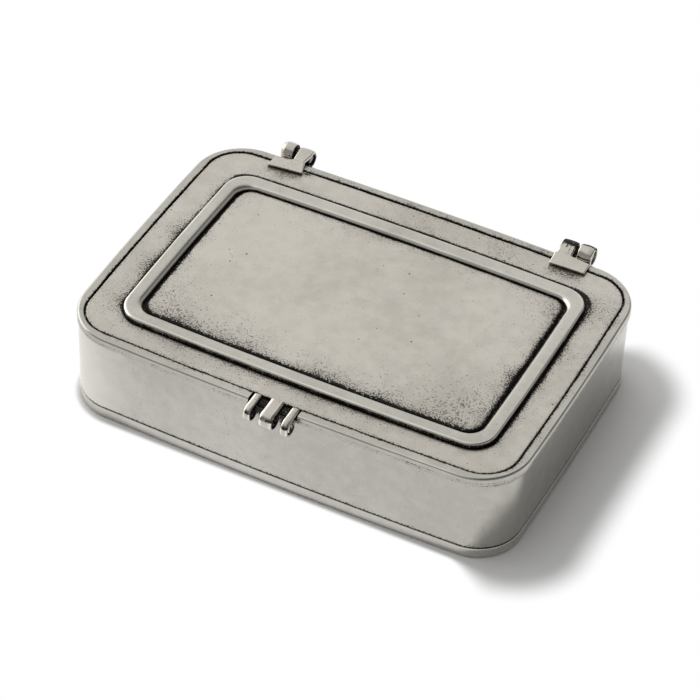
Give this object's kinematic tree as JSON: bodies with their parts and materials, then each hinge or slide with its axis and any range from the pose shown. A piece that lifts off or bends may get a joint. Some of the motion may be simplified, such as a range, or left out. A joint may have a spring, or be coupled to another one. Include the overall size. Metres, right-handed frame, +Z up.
{
  "type": "hinged keepsake box",
  "caption": "Low rectangular pewter keepsake box with rounded corners, an inset lid with a raised bead, rear strap hinges and a curled front clasp.",
  "frame": {"origin": "middle of the flat underside, on the surface that the box stands on", "axes": "+X along the long side, to the right when facing the clasp; +Y from the clasp to the hinges; +Z up"},
  "size_m": [0.1568, 0.1209, 0.0374],
  "materials": {
    "base_pewter": "satin pewter, darkened along the seam",
    "wall_pewter": "satin pewter with faint scratches",
    "rim_pewter": "satin pewter, polished on its edge",
    "lid_pewter": "satin pewter with fine pits and dark patina beside the bead",
    "bead_pewter": "polished pewter",
    "hinge_pewter": "satin pewter",
    "pin_pewter": "dull dark metal",
    "clasp_pewter": "polished pewter"
  },
  "bodies": {
    "box_body": {"base_plate": "base_pewter", "box_wall": "wall_pewter", "top_rim": "rim_pewter", "left_hinge_body_leaf": "hinge_pewter", "left_hinge_pin": "pin_pewter", "right_hinge_body_leaf": "hinge_pewter", "right_hinge_pin": "pin_pewter", "clasp_left_lug": "clasp_pewter", "clasp_right_lug": "clasp_pewter"},
    "lid": {"lid_plate": "lid_pewter", "lid_bead": "bead_pewter", "left_hinge_lid_leaf": "hinge_pewter", "right_hinge_lid_leaf": "hinge_pewter", "clasp_lid_tab": "clasp_pewter"}
  },
  "joints": [
    {"name": "lid_hinge", "type": "hinge", "parent": "box_body", "child": "lid", "pos_m": [0, 0.05753, 0.0343], "axis": [-1, 0, 0], "range_deg": [0, 110]}
  ]
}
